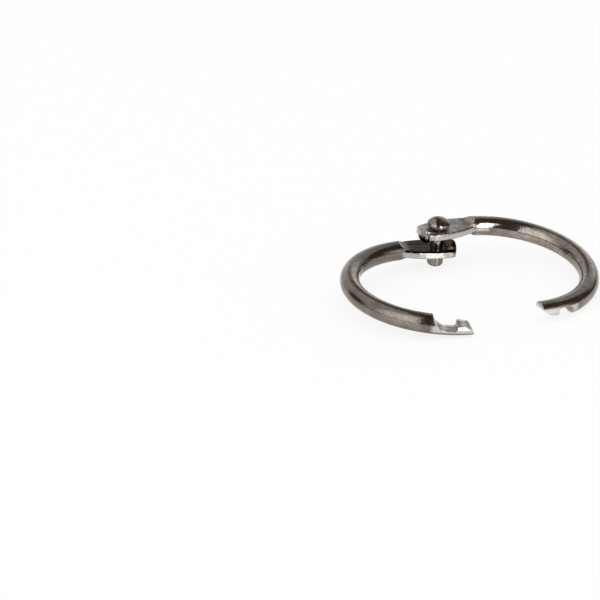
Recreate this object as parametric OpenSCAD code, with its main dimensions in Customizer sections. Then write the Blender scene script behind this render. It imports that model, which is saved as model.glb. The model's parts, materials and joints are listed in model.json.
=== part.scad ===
// Hinged binder ring: two identical half rings of round wire, one turned over on the
// other, that swing on a loose rivet and latch by hooked ends. It lies open on a table.

/* [Wire] */
// Diameter of the wire
wire_d = 2.8; // [2.4:0.05:3.4]
// Radius of the half ring's bend, to the middle of the wire
bend_r = 12.6; // [10:0.1:20]
// Straight run from the rivet to the bend
straight_l = 2.45; // [1.5:0.05:3.5]
// Turn of the lug out of the ring's line at the rivet
lug_turn = 6.8; // [0:0.1:12]

/* [Lug] */
// Thickness of the coined lug
lug_t = 1.1; // [0.7:0.05:1.3]
// Reach of the lug's side beyond the middle of the wire, outside the ring
lug_out = 2.2; // [2:0.05:2.8]
// Reach of the lug's side beyond the middle of the wire, inside the ring
lug_in = 2.35; // [1.8:0.05:2.6]
// Radius of the lug's bulging sides
lug_side_r = 13; // [8:0.5:16]
// Distance from the rivet to the lug's widest place
lug_wide_x = 1.0; // [0.5:0.1:1.5]
// Radius of the lug's end round the rivet
lug_end_r = 3.1; // [2.8:0.05:3.4]
// Rounding of the lug's edge
lug_edge_r = 0.3; // [0.1:0.05:0.35]
// Length of the flat from the rivet to the foot of the ramp
flat_l = 4.0; // [3.6:0.1:5]
// Radius of the ramp from the flat to the full wire
ramp_r = 2.1; // [1.4:0.1:3]

/* [End knob] */
// Distance from the rivet to the knob's wall on the mating side
knob_x = 2.25; // [2:0.05:2.5]
// Length of the knob beyond that wall
knob_l = 0.55; // [0.5:0.05:1]
// Radius of the hollow that rises to the knob on the mating side
hollow_r = 1.3; // [0.6:0.05:1.3]
// Radius of the hollow that rises to the knob on the outer side
outer_hollow_r = 4; // [2:0.5:6]
// Rounding of the wire's end
knob_edge_r = 0.6; // [0.2:0.05:0.6]

/* [Hook] */
// Depth of the pocket's floor below the middle of the wire
pocket_deep = 0.6; // [0.45:0.05:0.8]
// Length of the pocket's floor from the lip to the foot of its back
pocket_l = 1.3; // [1:0.05:2]
// Radius of the pocket's curved back
pocket_r = 2.1; // [1.3:0.05:2.4]
// Fillet at the foot of the lip
lip_foot_r = 0.35; // [0.1:0.05:0.5]
// Height of the nose's crest above the middle of the wire
lip_h = 0.25; // [0.15:0.05:0.4]
// Rounding of the lip
lip_edge_r = 0.27; // [0.1:0.01:0.4]
// Radius of the nose
nose_r = 2.3; // [1.8:0.05:2.8]
// Distance from the lip to the nose's crest
nose_x = 0.48; // [0.3:0.02:0.8]
// Length of the nose from the lip to the wire's end, at the middle of the wire
nose_l = 2.15; // [1.6:0.05:2.6]
// Gap between the two lips when they are latched
lip_gap = 0.16; // [0.1:0.02:0.4]

/* [Rivet] */
// Diameter of the shank
shank_d = 1.8; // [1.4:0.05:2]
// Clearance all round the shank in the lugs
shank_clear = 0.06; // [0.02:0.01:0.1]
// Diameter of the domed head
head_d = 3.3; // [2.8:0.1:4]
// Height of the domed head
head_h = 1.5; // [1.2:0.05:2]
// Rounding of the head's rim
head_edge_r = 0.5; // [0.2:0.05:0.55]
// Gap between the head and the upper lug while the rivet is up
head_gap = 0.1; // [0.05:0.05:0.6]
// Diameter of the tail
tail_d = 2.3; // [2.1:0.1:2.8]
// Height of the tail
tail_h = 1.8; // [0.8:0.05:2.2]
// Rounding of the tail's lower edge
tail_edge_r = 0.45; // [0.2:0.05:0.6]
// Gap between the tail and the lower lug while the rivet is up
tail_gap = 0.05; // [0.03:0.01:0.1]

/* [Pose] */
// Angle between the two half rings
open_deg = 33.5; // [10:0.5:50]
// Gap by which the end knobs, and the hooks, pass each other when the rivet is up
pass_gap = 0.1; // [0.05:0.05:0.3]
// Gap between an end knob and the lug that drops on it
stack_gap = 0.05; // [0.03:0.01:0.1]

/* [Hidden] */
$fn = 96;

wire_r = wire_d / 2;
cut = 2 * wire_d;                              // longer than any cut needs

// Middle of the bend, in the ring's frame: rivet at the origin, hook straight below it.
bend_mid = [bend_r * sin(lug_turn) - straight_l * cos(lug_turn),
    -bend_r * cos(lug_turn) - straight_l * sin(lug_turn)];
ring_span = sqrt(pow(bend_r, 2) - pow(bend_mid.x, 2)) - bend_mid.y;    // rivet to hook
// The bend runs on past half a turn, past the hook line to the nose's tip.
tip_deg = asin((lip_gap / 2 + nose_l - bend_mid.x) / bend_r);

knob_end = knob_x + knob_l;
stack_h = wire_r + lug_t / 2 + stack_gap;      // between the two lugs while latched
rise_deg = asin(stack_h / 2 / ring_span);      // brings the two hooks level
// How far the rivet rises with the upper half to free the hooks.
lift = max(2 * wire_r - stack_h, 2 * lip_h) + pass_gap;
upper_z = stack_h + lift;

// The nose: an arc, rounded into the lip at its high end.
nose_mid = [nose_x, lip_h - nose_r];
lip_mid = [lip_edge_r, nose_mid.y + sqrt(pow(nose_r - lip_edge_r, 2) - pow(nose_x - lip_edge_r, 2))];
lip_join = nose_mid + nose_r * unit(lip_mid - nose_mid);

// The head: a crown arc that runs tangent into the rim's rounding.
head_r = head_d / 2;
rim_mid = [head_r - head_edge_r, head_edge_r];
crown_r = (pow(rim_mid.x, 2) + pow(head_h - head_edge_r, 2) - pow(head_edge_r, 2))
    / (2 * (head_h - 2 * head_edge_r));
crown_mid = [0, head_h - crown_r];
crown_join = crown_mid + crown_r * unit(rim_mid - crown_mid);

tail_top = -lug_t / 2 - tail_gap;
tail_low = tail_top - tail_h;
head_low = upper_z + lug_t / 2 + head_gap;

function unit(v) = v / norm(v);
function spin_x(p, a) = [p.x, p.y * cos(a) - p.z * sin(a), p.y * sin(a) + p.z * cos(a)];
function spin_z(p, a) = [p.x * cos(a) - p.y * sin(a), p.x * sin(a) + p.y * cos(a), p.z];

// Middle of the wire round the bend, in a half ring's own frame.
wire_line = [for (a = [lug_turn:1:180 + tip_deg])
    spin_x([bend_mid.x - bend_r * sin(a), bend_mid.y + bend_r * cos(a), 0], -rise_deg)];
// Outer edge of the lug.
lug_line = [for (x = [-flat_l - ramp_r:0.25:0]) spin_z(
    [x, lug_out - lug_side_r + sqrt(pow(lug_side_r, 2) - pow(x + lug_wide_x, 2)), 0], lug_turn)];

function lower_place(p) = spin_z(p, -open_deg / 2);
function upper_place(p) = spin_z([-p.x, p.y, upper_z - p.z], open_deg / 2);
lower_line = [for (p = wire_line) lower_place(p)];
upper_line = [for (p = wire_line) upper_place(p)];

// The table touches the rounded foot of the tail and the underside of each half ring.
// up is the table's normal in the rivet's frame: each pass lays a plane on the three
// points that are lowest along the last normal.
function lowest(line, up) = let (h = [for (p = line) p * up]) line[search(min(h), h)[0]];
function tail_foot(up) = let (side = -unit([up.x, up.y, 0]))
    [0, 0, tail_low + tail_edge_r] + (tail_d / 2 - tail_edge_r) * side + (wire_r - tail_edge_r) * up;
function settle(up, passes) = passes == 0 ? up : let (
    foot = tail_foot(up),
    left = lowest(lower_line, up),
    right = lowest(upper_line, up))
    settle(unit(cross(left - foot, right - foot)), passes - 1);
up = settle(unit([-0.1, 0.05, 1]), 12);
k = 1 / (1 + up.z);
turn = [
    [1 - k * up.x * up.x, -k * up.x * up.y, -up.x],
    [-k * up.x * up.y, 1 - k * up.y * up.y, -up.y],
    [up.x, up.y, up.z]];

// Extents of the settled ring, to put its middle over the origin and its feet on the table.
wires = [for (p = concat(lower_line, upper_line)) turn * p];
lugs = [for (p = lug_line) each [turn * lower_place(p), turn * upper_place(p)]];
x_mid = (min([for (p = wires) p.x]) + max([for (p = wires) p.x])) / 2;
y_low = min([for (p = wires) p.y]) - wire_r;
y_high = max([for (p = lugs) p.y]);
table_z = tail_foot(up) * up - wire_r;

module settled() {
    shift = -[x_mid, (y_low + y_high) / 2, table_z];
    multmatrix([for (i = [0:2]) [turn[i].x, turn[i].y, turn[i].z, shift[i]]]) children();
}

// A disc with a rounded rim, lying in the wire's middle plane.
module rim_disc(r) {
    rotate_extrude() {
        translate([0, -lug_t / 2]) square([r - lug_edge_r, lug_t]);
        translate([0, lug_edge_r - lug_t / 2]) square([r, lug_t - 2 * lug_edge_r]);
        for (s = [-1, 1]) translate([r - lug_edge_r, s * (lug_t / 2 - lug_edge_r)])
            circle(lug_edge_r);
    }
}

// The wire spread flat: two bulging sides, and an end about the rivet, cut square.
module lug_plate() {
    intersection() {
        translate([-lug_wide_x, lug_out - lug_side_r, 0]) rim_disc(lug_side_r);
        translate([-lug_wide_x, lug_side_r - lug_in, 0]) rim_disc(lug_side_r);
        union() {
            rim_disc(lug_end_r);
            translate([-cut, 0, 0]) cube([2 * cut, 2 * cut, lug_t], center = true);
        }
        translate([knob_x + knob_l / 2 - cut, 0, 0]) cube([2 * cut, 2 * cut, cut], center = true);
    }
}

// The space that a coining die takes over the lug: up the ramp at one end, and at the
// other up a hollow of radius hollow that starts foot_x from the rivet.
module die(foot_x, hollow) {
    floor_z = lug_t / 2;
    rotate([90, 0, 0]) linear_extrude(cut, center = true) {
        translate([-flat_l, floor_z]) square([flat_l + foot_x, cut]);
        translate([-flat_l, floor_z + hollow]) square([flat_l + foot_x + hollow, cut]);
        translate([foot_x, floor_z + hollow]) circle(hollow);
        translate([-flat_l, floor_z + ramp_r]) circle(ramp_r);
    }
}

// Straight wire along the lug from the bend, with a rounded end at the knob.
module hinge_wire() {
    translate([-straight_l, 0, 0]) rotate([0, 90, 0]) rotate_extrude() {
        length = straight_l + knob_end;
        square([wire_r, length - knob_edge_r]);
        square([wire_r - knob_edge_r, length]);
        translate([wire_r - knob_edge_r, length - knob_edge_r]) circle(knob_edge_r);
    }
}

module bend() {
    translate([-straight_l, -bend_r, 0]) rotate([0, 0, 90])
        rotate_extrude(angle = 180 + tip_deg - lug_turn) translate([bend_r, 0]) circle(wire_r);
}

// Outline of the nose, from the lip at x = 0.
module nose_outline() {
    intersection() {
        translate(nose_mid) circle(nose_r);
        translate([lip_join.x, -cut]) square(2 * cut);
    }
    translate([0, -cut]) square([lip_join.x, cut + lip_mid.y]);
    translate(lip_mid) circle(lip_edge_r);
}

// What is cut from the wire's end: the pocket behind the lip and the space over the nose.
module hook_cut() {
    floor_z = -pocket_deep;
    translate([lip_gap / 2, -ring_span, 0]) rotate([90, 0, 0])
        linear_extrude(cut, center = true) difference() {
            union() {
                translate([-pocket_l, floor_z + pocket_r]) circle(pocket_r);
                translate([-pocket_l, floor_z]) square([pocket_l - lip_foot_r, cut]);
                translate([-pocket_l, floor_z + lip_foot_r]) square([pocket_l, cut]);
                translate([-lip_foot_r, floor_z + lip_foot_r]) circle(lip_foot_r);
                translate([0, -cut / 2]) square([cut, cut]);
            }
            nose_outline();
        }
}

// One half ring: rivet axis on Z, end knob toward +X, hook at y = -ring_span, mating side up.
module half_ring() {
    difference() {
        union() {
            difference() {
                rotate([-rise_deg, 0, 0]) difference() {
                    rotate([0, 0, lug_turn]) {
                        hinge_wire();
                        bend();
                    }
                    hook_cut();
                }
                rotate([0, 0, lug_turn]) {
                    die(knob_x - hollow_r, hollow_r);
                    mirror([0, 0, 1]) die(tail_d / 2, outer_hollow_r);
                }
            }
            rotate([0, 0, lug_turn]) lug_plate();
        }
        cylinder(d = shank_d + 2 * shank_clear, h = cut, center = true);
    }
}

module head_outline() {
    translate([0, head_edge_r]) intersection() {
        translate(crown_mid - [0, head_edge_r]) circle(crown_r);
        square([crown_join.x, head_h]);
    }
    square(rim_mid);
    translate(rim_mid) circle(head_edge_r);
}

module tail_outline() {
    tail_r = tail_d / 2;
    square([tail_r - tail_edge_r, tail_h]);
    translate([0, tail_edge_r]) square([tail_r, tail_h - tail_edge_r]);
    translate([tail_r - tail_edge_r, tail_edge_r]) circle(tail_edge_r);
}

module lower_half_ring() {
    color([0.69, 0.65, 0.61]) settled() rotate([0, 0, -open_deg / 2]) half_ring();
}

// The same part turned over, lifted and swung open.
module upper_half_ring() {
    color([0.74, 0.70, 0.66]) settled() rotate([0, 0, open_deg / 2])
        translate([0, 0, upper_z]) rotate([0, 180, 0]) half_ring();
}

module rivet() {
    color([0.62, 0.59, 0.56]) settled() rotate_extrude() {
        translate([0, tail_low]) tail_outline();
        translate([0, tail_low + tail_h / 2]) square([shank_d / 2, head_low - tail_low - tail_h / 4]);
        translate([0, head_low]) head_outline();
    }
}

lower_half_ring();
upper_half_ring();
rivet();
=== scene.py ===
"""Binder ring lying open: nickel-plated wire, stamped lugs and hooks, loose rivet."""

import json
import math

import bpy
import numpy as np
from mathutils import Matrix, Vector

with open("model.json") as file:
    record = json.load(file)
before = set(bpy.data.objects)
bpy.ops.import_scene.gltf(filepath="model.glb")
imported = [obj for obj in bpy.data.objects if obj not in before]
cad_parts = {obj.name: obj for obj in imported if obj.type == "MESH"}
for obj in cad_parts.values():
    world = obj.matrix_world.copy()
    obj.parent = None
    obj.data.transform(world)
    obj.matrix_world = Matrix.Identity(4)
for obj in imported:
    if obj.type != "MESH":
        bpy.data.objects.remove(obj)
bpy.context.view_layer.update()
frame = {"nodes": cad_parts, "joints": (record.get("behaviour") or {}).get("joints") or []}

# ---------------------------------------------------------------- the ring's own measures, mm
MM_PER_M = 1000
OPEN_ANGLE = math.radians(33.5)      # between the two half rings
STACK = 2.9                          # from the lower lug's middle plane to the upper lug's
RISE = math.radians(2.259)           # tilt of the wire's plane against the lug's
BEND_RADIUS = 12.6                   # to the middle of the wire
BEND_MIDDLE = (-0.941, -12.80)       # from the rivet, in a half ring's own frame
RIVET_MIDDLE = 1.45                  # from the lower lug up to half way along the rivet

# ---------------------------------------------------------------- where each finish begins, mm
# Each pair is where a soft border starts and where it is complete.
# Along the wire from the middle of the bend, with the lug behind it and the hook ahead:
LUG_END = (-23.4, -22.9)             # the knob's end face, then the lug's sides
SHADED_FACE_TO = (-15.9, -14.5)           # the painted shade on the lug's facing side, then clean plate
LUG_TO = (-15.7, -14.7)              # the struck lug, then round wire
HOOK_FROM = (17.1, 17.9)             # round wire, then the hook
WIRE_END = (22.84, 22.94)            # the hook's cut, then the wire's end face
# Across it:
CUT_WITHIN = (0.86, 1.16)            # from the wire's middle: cut metal, then the wire's skin
RIM_FROM = (-1.0, -0.6)              # up from the wire's middle: plain plate, then the rim
FACE_FROM = (0.1, 0.45)              # up from the lug's middle plane: its side, then its face
TRIM_WITHIN = (0.32, 0.46)           # either way from that plane: trimmed side, then the flats

# ---------------------------------------------------------------- finishes
# Colours, as the metal's own, with painted shade and painted highlight among them.
NICKEL = (0.437, 0.391, 0.349)       # plate with the warm cast of thin nickel
LOWER_PLATE = (0.300, 0.270, 0.244)      # the same plate, darker, for the lower half ring
SPECKLE = (0.200, 0.175, 0.153)      # the plate's small dull pits
TARNISH = (0.181, 0.157, 0.139)      # brown film where hands and air have dulled it
STRUCK_AND_REFLECTION = (0.590, 0.582, 0.580)      # greyer plate over the struck flats, lightened and cooled as a painted reflection
LUG_GAP_SHADE = (0.022, 0.014, 0.011)       # painted shade: near black on the lug faces that face each other
PAINTED_HIGHLIGHT = (0.860, 0.820, 0.765)      # painted highlight: pale plate colour on the hook rims and the lug's trimmed sides
CUT = (0.310, 0.302, 0.295)          # thin grey plate on the cut faces

# Share of its own colour that a place takes at its fullest.
STRUCK_AND_REFLECTION_SHARE = 0.85
PAINTED_HIGHLIGHT_SHARE = 0.86
TRIMMED_HIGHLIGHT_SHARE = 0.65                 # of the painted highlight's share, on the lug's trimmed sides
LUG_GAP_SHADE_SHARE = 0.98

# Roughness of bare plate, and what each mark adds to it at its fullest.
POLISH = 0.04
LINES_ROUGHEN = 0.08
FILM_ROUGHENS = 0.10
PITS_ROUGHEN = 0.05
STRIKE_ROUGHENS = 0.14
RIVET_GRAIN_ROUGHENS = 0.10
RIVET_FILM_ROUGHENS = 0.12

# Heights of the marks in millimetres.
FINE_LINES = 0.0022
BROAD_LINES = 0.010
PLATE_GRAIN = 0.004
STRUCK_GRAIN_MORE = 0.006            # added on lugs and hooks
LUG_GRAIN_MORE = 0.045               # added again on the lugs' outer faces
PLATE_SWELL = 0.030
STRUCK_SWELL_MORE = 0.040
RIVET_GRAIN = 0.006
RIVET_SWELL = 0.10
TURNING_RINGS = 0.004
BUMP_METRES = 0.001                  # one unit of height is a millimetre

# Noise cells in a millimetre.
PITS_PER_MM = 6.2
RINGS_PER_MM = 6.0
DRAW_STRETCH = 0.03                  # how much slower the draw marks change along the run

# What the pits and the film are mixed from, and the noise at which each begins and is full.
SMALL_PITS, WIDE_PATCHES = 0.75, 0.25
PITS_BETWEEN = (0.43, 0.60)
CLOUDS, MOTTLE = 0.55, 0.45
FILM_BETWEEN = (0.42, 0.66)


# ---------------------------------------------------------------- small helpers for nodes
def new_tree(name):
    """An empty node material and its tree."""
    material = bpy.data.materials.new(name)
    material.use_nodes = True
    material.node_tree.nodes.clear()
    return material, material.node_tree


def node(tree, kind, **values):
    """A node of that kind; plain values go on its properties or, by name, on its sockets."""
    made = tree.nodes.new(kind)
    for key, value in values.items():
        if hasattr(made, key):
            setattr(made, key, value)
        else:
            made.inputs[key.replace("_", " ")].default_value = value
    return made


def link(tree, out, into):
    """Joins an output to an input."""
    tree.links.new(out, into)


def maths(tree, operation, first, second=None, third=None, clamp=False):
    """A Math node's output; each operand is a socket or a number."""
    made = tree.nodes.new("ShaderNodeMath")
    made.operation = operation
    made.use_clamp = clamp
    for slot, operand in zip(made.inputs, (first, second, third)):
        if operand is None:
            continue
        if isinstance(operand, (int, float)):
            slot.default_value = operand
        else:
            tree.links.new(operand, slot)
    return made.outputs[0]


def scaled(tree, value, factor):
    """The value times the factor."""
    return maths(tree, "MULTIPLY", value, factor)


def rest_of(tree, share):
    """1 less the share."""
    return maths(tree, "SUBTRACT", 1.0, share)


def without(tree, share, other):
    """The share less the other, and never below 0."""
    return maths(tree, "SUBTRACT", share, other, clamp=True)


def distance(tree, first, second):
    """Square root of the sum of the two squares."""
    squares = maths(tree, "MULTIPLY_ADD", first, first, scaled(tree, second, second))
    return maths(tree, "SQRT", squares)


def built_up(tree, base, *marks):
    """The base plus each mark times its weight."""
    for mark, weight in marks:
        base = maths(tree, "MULTIPLY_ADD", mark, weight, base)
    return base


def ramp_between(tree, value, low, high):
    """0 below low and 1 above high, with a smooth change between."""
    made = tree.nodes.new("ShaderNodeMapRange")
    made.interpolation_type = "SMOOTHSTEP"
    tree.links.new(value, made.inputs["Value"])
    made.inputs["From Min"].default_value = low
    made.inputs["From Max"].default_value = high
    return made.outputs["Result"]


def split(tree, vector):
    """The vector's three outputs, x, y and z."""
    parts = node(tree, "ShaderNodeSeparateXYZ")
    link(tree, vector, parts.inputs[0])
    return parts.outputs


def joined(tree, *values):
    """A vector from up to three values, the rest 0."""
    made = node(tree, "ShaderNodeCombineXYZ")
    for slot, value in zip(made.inputs, values):
        link(tree, value, slot)
    return made.outputs[0]


def noise(tree, vector, scale, detail, roughness, distortion=0.0):
    """A noise texture's value; the scale is a number or a socket."""
    made = tree.nodes.new("ShaderNodeTexNoise")
    tree.links.new(vector, made.inputs["Vector"])
    if isinstance(scale, (int, float)):
        made.inputs["Scale"].default_value = scale
    else:
        tree.links.new(scale, made.inputs["Scale"])
    made.inputs["Detail"].default_value = detail
    made.inputs["Roughness"].default_value = roughness
    made.inputs["Distortion"].default_value = distortion
    return made.outputs["Fac"]


def mixed_colour(tree, share, first, second):
    """Colour between first and second; each is a socket or a plain colour."""
    made = tree.nodes.new("ShaderNodeMix")
    made.data_type = "RGBA"
    tree.links.new(share, made.inputs["Factor"])
    colour_in = [s for s in made.inputs if s.type == "RGBA"]
    for slot, colour in zip(colour_in, (first, second)):
        if isinstance(colour, tuple):
            slot.default_value = (*colour, 1.0)
        else:
            tree.links.new(colour, slot)
    return [s for s in made.outputs if s.type == "RGBA"][0]


def layered_colour(tree, colour, *layers):
    """The colour with each layer's colour laid over it, by that layer's share."""
    for share, over in layers:
        colour = mixed_colour(tree, share, colour, over)
    return colour


def surface(tree, shader):
    """Puts the shader's output on the material's surface."""
    output = node(tree, "ShaderNodeOutputMaterial")
    link(tree, shader, output.inputs["Surface"])


def plated_metal(tree, colour, rough, height):
    """Metal of that colour and roughness, with marks of that height in millimetres."""
    shader = node(tree, "ShaderNodeBsdfPrincipled")
    shader.inputs["Metallic"].default_value = 1.0
    link(tree, colour, shader.inputs["Base Color"])
    link(tree, rough, shader.inputs["Roughness"])
    bump = node(tree, "ShaderNodeBump")
    bump.inputs["Distance"].default_value = BUMP_METRES
    link(tree, height, bump.inputs["Height"])
    link(tree, bump.outputs["Normal"], shader.inputs["Normal"])
    surface(tree, shader.outputs["BSDF"])


def group(name, inputs, outputs):
    """A shader node group with named sockets, and its two end nodes."""
    tree = bpy.data.node_groups.new(name, "ShaderNodeTree")
    for label, kind, value in inputs:
        slot = tree.interface.new_socket(label, in_out="INPUT", socket_type=kind)
        if value is not None:
            slot.default_value = value
    for label, kind in outputs:
        tree.interface.new_socket(label, in_out="OUTPUT", socket_type=kind)
    return tree, tree.nodes.new("NodeGroupInput"), tree.nodes.new("NodeGroupOutput")


def placed(tree, shared, vector, **values):
    """The group as a node in a material, on that vector and with its own values."""
    made = tree.nodes.new("ShaderNodeGroup")
    made.node_tree = shared
    tree.links.new(vector, made.inputs["Vector"])
    for key, value in values.items():
        made.inputs[key].default_value = value
    return made


# ---------------------------------------------------------------- shared effects
def wire_coordinates():
    """From millimetres about the bend's middle to (run, out, up): run is the angle round the
    bend times the bend's radius, out is the distance from the bend's middle line, up is height.
    Off is the distance from the middle of the wire."""
    tree, start, end = group(
        "wire coordinates",
        [("Vector", "NodeSocketVector", None), ("Bend Radius", "NodeSocketFloat", BEND_RADIUS)],
        [("Vector", "NodeSocketVector"), ("Run", "NodeSocketFloat"), ("Off", "NodeSocketFloat")])
    radius = start.outputs["Bend Radius"]
    x, y, z = split(tree, start.outputs["Vector"])
    turn = maths(tree, "ARCTAN2", scaled(tree, y, -1.0), scaled(tree, x, -1.0))
    run = scaled(tree, turn, radius)
    out = maths(tree, "SUBTRACT", distance(tree, x, y), radius)
    link(tree, joined(tree, run, out, z), end.inputs["Vector"])
    link(tree, run, end.inputs["Run"])
    link(tree, distance(tree, out, z), end.inputs["Off"])
    return tree


def draw_marks():
    """Fine lines that the drawing die leaves along the wire: noise stretched along the run."""
    tree, start, end = group(
        "draw marks",
        [("Vector", "NodeSocketVector", None), ("Stretch", "NodeSocketFloat", DRAW_STRETCH)],
        [("Fine", "NodeSocketFloat"), ("Broad", "NodeSocketFloat")])
    run, out, up = split(tree, start.outputs["Vector"])
    vector = joined(tree, scaled(tree, run, start.outputs["Stretch"]), out, up)
    fine = noise(tree, vector, scale=9.0, detail=3.0, roughness=0.6)
    broad = noise(tree, vector, scale=1.7, detail=2.0, roughness=0.5)
    link(tree, fine, end.inputs["Fine"])
    link(tree, broad, end.inputs["Broad"])
    return tree


def struck_grain():
    """Grain that the stamping dies leave: small dimples over a wider unevenness."""
    tree, start, end = group(
        "struck grain",
        [("Vector", "NodeSocketVector", None)],
        [("Grain", "NodeSocketFloat"), ("Swell", "NodeSocketFloat")])
    vector = start.outputs["Vector"]
    grain = noise(tree, vector, scale=5.5, detail=4.0, roughness=0.62, distortion=0.3)
    swell = noise(tree, vector, scale=0.9, detail=2.0, roughness=0.5)
    link(tree, grain, end.inputs["Grain"])
    link(tree, swell, end.inputs["Swell"])
    return tree


def speckle():
    """Share of small dull pits, one noise cell wide, thicker in some places than in others."""
    tree, start, end = group(
        "speckle",
        [("Vector", "NodeSocketVector", None), ("Scale", "NodeSocketFloat", PITS_PER_MM)],
        [("Share", "NodeSocketFloat")])
    vector = start.outputs["Vector"]
    small = noise(tree, vector, scale=start.outputs["Scale"], detail=3.0, roughness=0.7)
    wide = noise(tree, vector, scale=0.7, detail=2.0, roughness=0.5)
    both = built_up(tree, scaled(tree, small, SMALL_PITS), (wide, WIDE_PATCHES))
    link(tree, ramp_between(tree, both, *PITS_BETWEEN), end.inputs["Share"])
    return tree


def tarnish():
    """Share of brown film: wide cloudy patches broken up by fine mottle."""
    tree, start, end = group(
        "tarnish",
        [("Vector", "NodeSocketVector", None), ("Amount", "NodeSocketFloat", 0.5)],
        [("Share", "NodeSocketFloat")])
    vector = start.outputs["Vector"]
    cloud = noise(tree, vector, scale=0.32, detail=3.0, roughness=0.6, distortion=0.4)
    mottle = noise(tree, vector, scale=3.2, detail=4.0, roughness=0.7)
    both = built_up(tree, scaled(tree, cloud, CLOUDS), (mottle, MOTTLE))
    share = scaled(tree, ramp_between(tree, both, *FILM_BETWEEN), start.outputs["Amount"])
    link(tree, share, end.inputs["Share"])
    return tree


WIRE_COORDINATES = wire_coordinates()
DRAW_MARKS = draw_marks()
STRUCK_GRAIN = struck_grain()
SPECKLE_PITS = speckle()
TARNISH_FILM = tarnish()


# ---------------------------------------------------------------- where each pattern lies
def hinge_frame():
    """From the rivet's frame to the whole ring's: +Z turned to the axis, then out to the foot."""
    swing = [j for j in frame["joints"] if j["name"] == "ring_swing"][0]
    axis = Vector(swing["axis"]).normalized()
    turn = Vector((0, 0, 1)).rotation_difference(axis).to_matrix().to_4x4()
    return Matrix.Translation(Vector(swing["pos_m"]) * MM_PER_M) @ turn


def pattern_place(tree, rest):
    """Object coordinates in millimetres, taken into the frame that rest places in the ring's."""
    back = rest.inverted()
    coordinate = node(tree, "ShaderNodeTexCoord")
    mapping = node(tree, "ShaderNodeMapping")
    link(tree, coordinate.outputs["Object"], mapping.inputs["Vector"])
    mapping.inputs["Scale"].default_value = (MM_PER_M, MM_PER_M, MM_PER_M)
    mapping.inputs["Rotation"].default_value = back.to_euler("XYZ")
    mapping.inputs["Location"].default_value = back.to_translation()
    return mapping.outputs["Vector"]


HINGE = hinge_frame()
TO_BEND = Matrix.Rotation(-RISE, 4, "X") @ Matrix.Translation((*BEND_MIDDLE, 0))
LOWER_PLACE = HINGE @ Matrix.Rotation(-OPEN_ANGLE / 2, 4, "Z") @ TO_BEND
UPPER_PLACE = (HINGE @ Matrix.Rotation(OPEN_ANGLE / 2, 4, "Z")
               @ Matrix.Translation((0, 0, STACK)) @ Matrix.Rotation(math.pi, 4, "Y") @ TO_BEND)
RIVET_PLACE = HINGE @ Matrix.Translation((0, 0, RIVET_MIDDLE))


# ---------------------------------------------------------------- materials
def wire_places(tree, millimetres, along):
    """Shares of the lug, its face toward the other lug (painted shade) and trimmed sides, the
    hook's cut and its rim (painted highlight).
    A point's level above the lug's middle plane is its height and its distance across,
    turned back by the rise."""
    run = along.outputs["Run"]
    _, across, height = split(tree, millimetres)
    tilt = maths(tree, "MULTIPLY_ADD", across, math.sin(RISE), BEND_MIDDLE[1] * math.sin(RISE))
    level = maths(tree, "SUBTRACT", scaled(tree, height, math.cos(RISE)), tilt)

    lug = rest_of(tree, ramp_between(tree, run, *LUG_TO))
    sides = scaled(tree, lug, ramp_between(tree, run, *LUG_END))
    flats = ramp_between(tree, maths(tree, "ABSOLUTE", level), *TRIM_WITHIN)
    trimmed = without(tree, sides, flats)
    # the lug face toward the other lug, which takes painted shade
    shaded_face = scaled(tree, rest_of(tree, ramp_between(tree, run, *SHADED_FACE_TO)),
                    ramp_between(tree, level, *FACE_FROM))

    end = ramp_between(tree, run, *HOOK_FROM)
    core = rest_of(tree, ramp_between(tree, along.outputs["Off"], *CUT_WITHIN))
    hook = without(tree, scaled(tree, core, end), ramp_between(tree, run, *WIRE_END))
    rim = scaled(tree, without(tree, end, hook), ramp_between(tree, height, *RIM_FROM))
    return lug, shaded_face, trimmed, hook, rim


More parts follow.
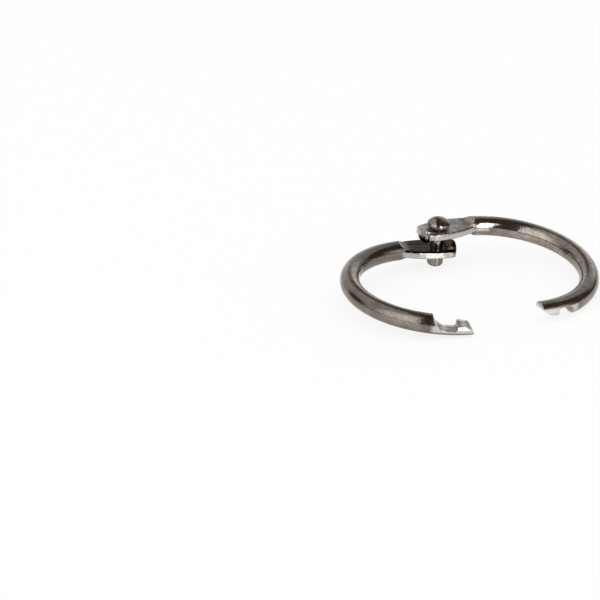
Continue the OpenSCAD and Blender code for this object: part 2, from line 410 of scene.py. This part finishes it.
def plated_wire(name, place, seed, plate, dulled):
    """Nickel plate over drawn wire: draw marks along the run, greyer grain on the struck ends,
    painted shade between the lugs and painted highlight on the hook rims and trimmed sides.
    """
    material, tree = new_tree(name)
    millimetres = pattern_place(tree, place)
    shifted = node(tree, "ShaderNodeVectorMath", operation="ADD")
    link(tree, millimetres, shifted.inputs[0])
    shifted.inputs[1].default_value = (seed, seed, seed)
    own = shifted.outputs["Vector"]

    along = placed(tree, WIRE_COORDINATES, millimetres)
    lines = placed(tree, DRAW_MARKS, along.outputs["Vector"])
    grain = placed(tree, STRUCK_GRAIN, own)
    film = placed(tree, TARNISH_FILM, own, Amount=dulled).outputs["Share"]
    pits = placed(tree, SPECKLE_PITS, own, Scale=PITS_PER_MM).outputs["Share"]

    lug, shaded_face, trimmed, hook, rim = wire_places(tree, millimetres, along)
    struck = maths(tree, "ADD", lug, hook, clamp=True)
    outer_lug = without(tree, lug, maths(tree, "MAXIMUM", shaded_face, trimmed))
    # painted highlight on the hook's rim and, weaker, on the lug's trimmed sides
    painted_highlight = maths(tree, "MAXIMUM", rim, scaled(tree, trimmed, TRIMMED_HIGHLIGHT_SHARE))
    # painted shade: the face toward the other lug, less its trimmed sides
    dark = without(tree, shaded_face, trimmed)

    colour = layered_colour(
        tree, plate,
        # greyer struck plate with a lighter painted reflection over the lugs
        (scaled(tree, lug, STRUCK_AND_REFLECTION_SHARE), STRUCK_AND_REFLECTION),
        (pits, SPECKLE),
        (film, TARNISH),
        (hook, CUT),
        # painted highlight, pale, over the hook's rim and the lug's trimmed sides
        (scaled(tree, painted_highlight, PAINTED_HIGHLIGHT_SHARE), PAINTED_HIGHLIGHT),
        # painted shade, near black, on the lug faces that face each other
        (scaled(tree, dark, LUG_GAP_SHADE_SHARE), LUG_GAP_SHADE))
    rough = built_up(
        tree, POLISH,
        (lines.outputs["Fine"], LINES_ROUGHEN),
        (film, FILM_ROUGHENS),
        (pits, PITS_ROUGHEN),
        (outer_lug, STRIKE_ROUGHENS))
    dimples = built_up(tree, PLATE_GRAIN,
                       (struck, STRUCK_GRAIN_MORE), (outer_lug, LUG_GRAIN_MORE))
    swelling = built_up(tree, PLATE_SWELL, (struck, STRUCK_SWELL_MORE))
    height = built_up(
        tree, scaled(tree, lines.outputs["Broad"], BROAD_LINES),
        (lines.outputs["Fine"], FINE_LINES),
        (grain.outputs["Grain"], dimples),
        (grain.outputs["Swell"], swelling))
    plated_metal(tree, colour, rough, height)
    return material


def plated_rivet(name, place, dulled):
    """Nickel plate over a formed rivet: soft unevenness, and faint turning rings on the head."""
    material, tree = new_tree(name)
    millimetres = pattern_place(tree, place)
    grain = placed(tree, STRUCK_GRAIN, millimetres)
    film = placed(tree, TARNISH_FILM, millimetres, Amount=dulled).outputs["Share"]
    pits = placed(tree, SPECKLE_PITS, millimetres, Scale=PITS_PER_MM).outputs["Share"]
    x, y, z = split(tree, millimetres)
    round_axis = joined(tree, scaled(tree, distance(tree, x, y), RINGS_PER_MM),
                        scaled(tree, z, RINGS_PER_MM))
    rings = noise(tree, round_axis, scale=1.0, detail=2.0, roughness=0.6)

    colour = layered_colour(tree, NICKEL, (pits, SPECKLE), (film, TARNISH))
    rough = built_up(tree, POLISH,
                     (grain.outputs["Grain"], RIVET_GRAIN_ROUGHENS), (film, RIVET_FILM_ROUGHENS))
    height = built_up(
        tree, scaled(tree, grain.outputs["Grain"], RIVET_GRAIN),
        (grain.outputs["Swell"], RIVET_SWELL),
        (rings, TURNING_RINGS))
    plated_metal(tree, colour, rough, height)
    return material


def finish_node(name, material):
    """Gives a part its finish in place of the one it came with."""
    mesh = frame["nodes"][name].data
    mesh.materials.clear()
    mesh.materials.append(material)


finish_node("lower_half_ring",
            # the lower half takes a darker copy of the plate
            plated_wire("plated_wire_lower", LOWER_PLACE, seed=3.1, plate=LOWER_PLATE, dulled=0.8))
finish_node("upper_half_ring",
            plated_wire("plated_wire_upper", UPPER_PLACE, seed=17.4, plate=NICKEL, dulled=0.35))
finish_node("rivet", plated_rivet("plated_rivet", RIVET_PLACE, dulled=0.6))


# ---------------------------------------------------------------- camera
CAMERA_PLACE = Vector((-0.18544, -0.42843, 0.19998))    # metres
CAMERA_AZIMUTH = math.radians(-20.477)
CAMERA_ELEVATION = math.radians(23.247)
CAMERA_ROLL = math.radians(-1.317)
LENS = 216.0                                            # mm, on a film 36 mm wide
FILM_WIDTH = 36.0
NEAREST_SEEN = 0.01                                     # metres


def add_camera():
    """Camera axes from its azimuth and elevation, then turned about the view by its roll."""
    back = Vector((math.sin(CAMERA_AZIMUTH) * math.cos(CAMERA_ELEVATION),
                   -math.cos(CAMERA_AZIMUTH) * math.cos(CAMERA_ELEVATION),
                   math.sin(CAMERA_ELEVATION)))
    level = Vector((0, 0, 1)).cross(back).normalized()
    upright = back.cross(level)
    right = level * math.cos(CAMERA_ROLL) + upright * math.sin(CAMERA_ROLL)
    up = upright * math.cos(CAMERA_ROLL) - level * math.sin(CAMERA_ROLL)
    data = bpy.data.cameras.new("camera")
    data.sensor_width = FILM_WIDTH
    data.lens = LENS
    data.clip_start = NEAREST_SEEN
    camera = bpy.data.objects.new("camera", data)
    bpy.context.scene.collection.objects.link(camera)
    turn = Matrix((right, up, back)).transposed().to_4x4()
    camera.matrix_world = Matrix.Translation(CAMERA_PLACE) @ turn
    bpy.context.scene.camera = camera


add_camera()


# ---------------------------------------------------------------- studio
def add_mesh(name, points, faces, material):
    """A mesh object from rows of points and faces, with one material."""
    mesh = bpy.data.meshes.new(name)
    mesh.from_pydata(points.tolist(), [], faces.tolist())
    mesh.materials.append(material)
    made = bpy.data.objects.new(name, mesh)
    bpy.context.scene.collection.objects.link(made)
    return made


def grid_faces(rows, columns):
    """Quads of a grid of points laid out row by row."""
    first = (np.arange(rows - 1)[:, None] * columns + np.arange(columns - 1)[None]).ravel()
    return np.stack([first, first + 1, first + columns + 1, first + columns], 1)


TABLE_HALF = 1.4                     # metres
PAPER = (0.66, 0.65, 0.635)          # the table's sheet
SHADED = (0.2, 0.2, 0.2)             # what is left of its shading for the eye
SEEN_GLOW = 0.82                     # lifts it to near white for the eye
MIRRORED_GLOW = 0.32                 # and for what the metal mirrors
SHEEN_ROUGHNESS = 0.12
SHEEN_IOR = 2.6


def sheet_material():
    """Pale paper. The eye, and what the metal mirrors, see it lifted toward white, with its
    shadow kept. The metal also mirrors a sheen on it."""
    material, tree = new_tree("table_sheet")
    path = node(tree, "ShaderNodeLightPath").outputs
    seen = maths(tree, "MAXIMUM", path["Is Camera Ray"], path["Is Transmission Ray"])
    paper = node(tree, "ShaderNodeBsdfDiffuse", Color=(*PAPER, 1))
    faint = node(tree, "ShaderNodeBsdfDiffuse", Color=(*SHADED, 1))
    sheen = node(tree, "ShaderNodeBsdfGlossy", Roughness=SHEEN_ROUGHNESS)
    fresnel = node(tree, "ShaderNodeFresnel", IOR=SHEEN_IOR)
    mirrored = node(tree, "ShaderNodeMixShader")
    link(tree, scaled(tree, fresnel.outputs[0], path["Is Glossy Ray"]), mirrored.inputs["Fac"])
    link(tree, paper.outputs[0], mirrored.inputs[1])
    link(tree, sheen.outputs[0], mirrored.inputs[2])
    body = node(tree, "ShaderNodeMixShader")
    link(tree, seen, body.inputs["Fac"])
    link(tree, mirrored.outputs[0], body.inputs[1])
    link(tree, faint.outputs[0], body.inputs[2])
    glow = node(tree, "ShaderNodeEmission")
    strength = built_up(tree, scaled(tree, seen, SEEN_GLOW),
                        (path["Is Glossy Ray"], MIRRORED_GLOW))
    link(tree, strength, glow.inputs["Strength"])
    both = node(tree, "ShaderNodeAddShader")
    link(tree, body.outputs[0], both.inputs[0])
    link(tree, glow.outputs[0], both.inputs[1])
    surface(tree, both.outputs[0])
    return material


def add_table():
    """A flat square sheet at height 0, from minus half to plus half its width each way."""
    corners = TABLE_HALF * np.array([(-1, -1, 0), (1, -1, 0), (1, 1, 0), (-1, 1, 0)])
    add_mesh("table", corners, np.array([(0, 1, 2, 3)]), sheet_material())


# The light tent's cloth, then its windows: azimuth from the camera, to its right, and elevation,
# each as from, to and the soft border at either end, in degrees, then the glow. A shade dims
# what is there by its depth.
TENT_DARK = (0.084, 0.071, 0.063)
WINDOWS = (
    ("left wall", (-166, -22, 26, 4), (-30, 81, 10, 12), (0.578, 0.555, 0.548)),
    ("key box", (-72, -21, 36, 3), (4, 66, 24, 40), (1.05, 1.01, 0.975)),
    ("front box", (16, 37, 4, 5), (-30, 47, 4, 8), (6.0, 6.0, 5.9)),
    ("front spill", (30, 76, 8, 34), (-30, 28, 4, 20), (0.90, 0.87, 0.84)),
    ("back wall", (144, 200, 30, 24), (-30, 26, 10, 20), (0.57, 0.57, 0.57)),
    ("back glow", (124, 176, 14, 20), (10, 56, 20, 20), (0.33, 0.33, 0.338)),
    ("back lamp", (160, 171, 4, 4), (8, 23, 6, 6), (0.24, 0.24, 0.24)),
)
SHADES = (
    ("left gap", (-124, -94, 16, 18), (-30, 28, 10, 20), 0.85),
    ("left foot", (-112, -62, 16, 16), (-30, 8, 10, 14), 0.50),
)
TENT_RADIUS = 1.2                    # metres
TENT_FOOT = -4                       # degrees of elevation
TENT_ROWS, TENT_COLUMNS = 91, 361


def soft_between(angle, span):
    """1 between the span's two angles and 0 outside. A straight rise and fall over the borders,
    multiplied to t, is smoothed as 3 t squared less 2 t cubed."""
    low, high, low_border, high_border = span
    rise = np.clip((angle - low) / low_border + 0.5, 0, 1)
    fall = np.clip((high - angle) / high_border + 0.5, 0, 1)
    t = rise * fall
    return t * t * (3 - 2 * t)


def soft_patch(azimuth, elevation, across, upward):
    """Product of the two soft spans; the azimuth is tried a full turn on as well."""
    turned = np.maximum(soft_between(azimuth, across), soft_between(azimuth + 360, across))
    return (turned * soft_between(elevation, upward))[..., None]


def tent_glow(azimuth, elevation):
    """The dark cloth plus each window's glow times its patch, less each shade's share of it."""
    glow = np.zeros((*azimuth.shape, 3)) + TENT_DARK
    for _, across, upward, colour in WINDOWS:
        glow = glow + soft_patch(azimuth, elevation, across, upward) * np.array(colour)
    for _, across, upward, depth in SHADES:
        glow = glow * (1 - depth * soft_patch(azimuth, elevation, across, upward))
    return glow


def cloth_material():
    """Cloth that gives out the glow kept on its points."""
    material, tree = new_tree("tent_cloth")
    colour = node(tree, "ShaderNodeAttribute", attribute_name="glow")
    light = node(tree, "ShaderNodeEmission")
    link(tree, colour.outputs["Color"], light.inputs["Color"])
    surface(tree, light.outputs[0])
    return material


def add_tent():
    """Half sphere round the ring, from azimuth and elevation: a point is the radius times (cos
    azimuth x cos elevation, sin azimuth x cos elevation, sin elevation). Only the metal sees it."""
    elevation = np.linspace(TENT_FOOT, 90, TENT_ROWS)[:, None] + np.zeros((1, TENT_COLUMNS))
    azimuth = np.zeros((TENT_ROWS, 1)) + np.linspace(-180, 180, TENT_COLUMNS)[None]
    toward_camera = math.atan2(-math.cos(CAMERA_AZIMUTH), math.sin(CAMERA_AZIMUTH))
    around, above = np.radians(azimuth) + toward_camera, np.radians(elevation)
    points = TENT_RADIUS * np.stack([np.cos(around) * np.cos(above),
                                     np.sin(around) * np.cos(above), np.sin(above)], -1)
    tent = add_mesh("light_tent", points.reshape(-1, 3),
                    grid_faces(TENT_ROWS, TENT_COLUMNS), cloth_material())

    glow = tent_glow(azimuth, elevation).reshape(-1, 3)
    colours = np.concatenate([glow, np.ones((len(glow), 1))], 1).astype(np.float32)
    layer = tent.data.attributes.new("glow", "FLOAT_COLOR", "POINT")
    layer.data.foreach_set("color", colours.ravel())
    tent.visible_camera = False
    tent.visible_diffuse = False
    tent.visible_shadow = False
    tent.visible_transmission = False


ROOM_LIGHT = 0.80                    # the world's strength on the table; what is seen is 1
SOFT_BOX_PLACE = (-0.5, -0.35, 0.8)  # metres
SOFT_BOX_SIZE = 0.7
SOFT_BOX_WATTS = 1.2


def add_world():
    """Even white light for the table; full white where the eye looks past the table."""
    world = bpy.data.worlds.new("studio")
    world.use_nodes = True
    bpy.context.scene.world = world
    tree = world.node_tree
    tree.nodes.clear()
    path = node(tree, "ShaderNodeLightPath").outputs
    seen = maths(tree, "MAXIMUM", path["Is Camera Ray"],
                 maths(tree, "MAXIMUM", path["Is Glossy Ray"], path["Is Transmission Ray"]))
    light = node(tree, "ShaderNodeBackground", Color=(1, 1, 1, 1))
    link(tree, built_up(tree, ROOM_LIGHT, (seen, 1 - ROOM_LIGHT)), light.inputs["Strength"])
    end = node(tree, "ShaderNodeOutputWorld")
    link(tree, light.outputs[0], end.inputs["Surface"])


def add_soft_box():
    """A square soft box that faces the ring and that the metal doesn't mirror."""
    data = bpy.data.lights.new("soft_box", "AREA")
    data.shape = "SQUARE"
    data.size = SOFT_BOX_SIZE
    data.energy = SOFT_BOX_WATTS
    lamp = bpy.data.objects.new("soft_box", data)
    lamp.location = SOFT_BOX_PLACE
    lamp.rotation_euler = (-Vector(SOFT_BOX_PLACE)).to_track_quat("-Z", "Y").to_euler()
    bpy.context.scene.collection.objects.link(lamp)
    lamp.visible_glossy = False


add_table()
add_tent()
add_world()
add_soft_box()

bpy.context.scene.view_settings.view_transform = "Standard"
